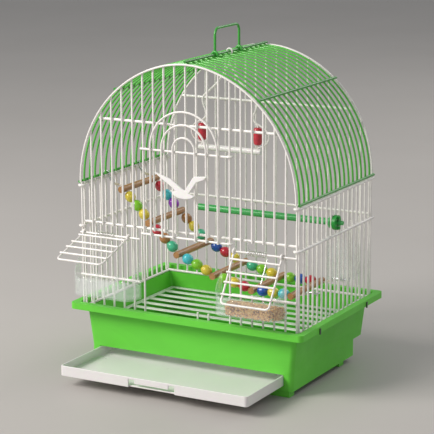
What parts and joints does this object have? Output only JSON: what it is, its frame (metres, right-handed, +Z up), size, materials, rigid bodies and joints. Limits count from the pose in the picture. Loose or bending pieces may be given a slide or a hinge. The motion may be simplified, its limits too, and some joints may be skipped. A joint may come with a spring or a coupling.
{
  "type": "bird cage on stand",
  "caption": "Arched wire bird cage on a plastic tub: lift-up door, hooded seed cups, swing, perch, bead ladder and a pull-out droppings drawer.",
  "frame": {"origin": "middle of the outline, on the surface that the feet stand on", "axes": "+Z up, -Y out of the front door and drawer, +X to the right seen from the front"},
  "size_m": [0.3074, 0.2894, 0.4033],
  "materials": {
    "green_plastic": "glossy green moulded plastic",
    "pale_plastic": "glossy off-white plastic",
    "mint_plastic": "glossy pale plastic tinted green by the tub",
    "dark_wire": "dark coated clip",
    "white_wire": "glossy white powder coat over welded wire",
    "green_wire": "glossy green powder coat over welded wire",
    "deep_green_wire": "glossy darker green powder coat",
    "handle_wire": "glossy green powder coat",
    "white_plastic": "glossy white moulded plastic",
    "spring_wire": "bright drawn spring wire",
    "clear_plastic": "clear moulded plastic",
    "seed": "dry mixed millet, matt",
    "red_bead": "glossy red lacquer",
    "white_bar": "glossy white plastic",
    "perch_green": "satin green plastic",
    "knob_green": "glossy green plastic",
    "string": "twisted cotton string",
    "rung_wood": "varnished turned wood",
    "clasp_steel": "bright plated steel",
    "bead_yellow": "glossy yellow stain on turned wood",
    "bead_lime": "glossy lime stain on turned wood",
    "bead_red": "glossy red stain on turned wood",
    "bead_plain": "varnished turned wood",
    "bead_teal": "glossy teal stain on turned wood",
    "bead_sky": "glossy sky-blue stain on turned wood",
    "bead_purple": "glossy purple stain on turned wood",
    "bead_blue": "glossy blue stain on turned wood"
  },
  "bodies": {
    "cage": {"tub": "green_plastic", "floor_grille": "mint_plastic", "rim_clips": "dark_wire", "front_wires": "white_wire", "front_rails": "white_wire", "front_rim": "white_wire", "back_wires": "white_wire", "back_rails": "white_wire", "back_rim": "white_wire", "left_wires": "white_wire", "left_rails": "white_wire", "right_wires": "white_wire", "right_rails": "white_wire", "roof_wires": "green_wire", "roof_rails": "deep_green_wire", "feeder_rails": "white_wire", "hinge_wires": "white_wire", "left_spring_coil": "spring_wire", "right_spring_coil": "spring_wire", "left_cup": "clear_plastic", "right_cup": "clear_plastic", "seed_fill": "seed", "perch": "perch_green", "front_string": "string", "back_string": "string", "ladder_rungs": "rung_wood", "ladder_clasps": "clasp_steel", "yellow_beads": "bead_yellow", "lime_beads": "bead_lime", "red_beads": "bead_red", "wood_beads": "bead_plain", "teal_beads": "bead_teal", "sky_beads": "bead_sky", "purple_beads": "bead_purple", "blue_beads": "bead_blue", "drinker": "clear_plastic", "drinker_hanger": "white_wire"},
    "drawer": {"drawer": "pale_plastic"},
    "door": {"door_rails": "white_wire", "door_bars": "white_wire", "door_swallow": "white_plastic"},
    "left_hood": {"left_flap_frame": "white_wire", "left_flap_bars": "white_wire", "left_spring_arm": "spring_wire"},
    "right_hood": {"right_flap_frame": "white_wire", "right_flap_bars": "white_wire", "right_spring_arm": "spring_wire"},
    "handle": {"carry_handle": "handle_wire"},
    "swing": {"swing_frame": "white_wire", "swing_beads": "red_bead", "swing_perch": "white_bar"},
    "knob": {"perch_knob": "knob_green"}
  },
  "joints": [
    {"name": "drawer_slide", "type": "slide", "parent": "cage", "child": "drawer", "axis": [0, -1, 0], "range_m": [-0.082, 0.05]},
    {"name": "door_slide", "type": "slide", "parent": "cage", "child": "door", "axis": [0, 0, 1], "range_m": [-0.0895, 0]},
    {"name": "left_hood_hinge", "type": "hinge", "parent": "cage", "child": "left_hood", "pos_m": [-0.106, -0.06518, 0.1635], "axis": [-1, 0, 0], "range_deg": [-40, 40], "stiffness_Nm_per_rad": 0.06, "springref_deg": 4.3},
    {"name": "right_hood_hinge", "type": "hinge", "parent": "cage", "child": "right_hood", "pos_m": [0.093, -0.06518, 0.1635], "axis": [-1, 0, 0], "range_deg": [0, 80], "stiffness_Nm_per_rad": 0.03, "springref_deg": -20.05},
    {"name": "handle_hinge", "type": "hinge", "parent": "cage", "child": "handle", "pos_m": [0, 0.03475, 0.37175], "axis": [0, 1, 0], "range_deg": [-80, 80]},
    {"name": "swing_hinge", "type": "hinge", "parent": "cage", "child": "swing", "pos_m": [0, 0.04053, 0.37175], "axis": [1, 0, 0], "range_deg": [-22, 22]},
    {"name": "perch_knob_turn", "type": "hinge", "parent": "cage", "child": "knob", "pos_m": [0.1438, 0.02897, 0.186], "axis": [1, 0, 0], "continuous": true}
  ]
}
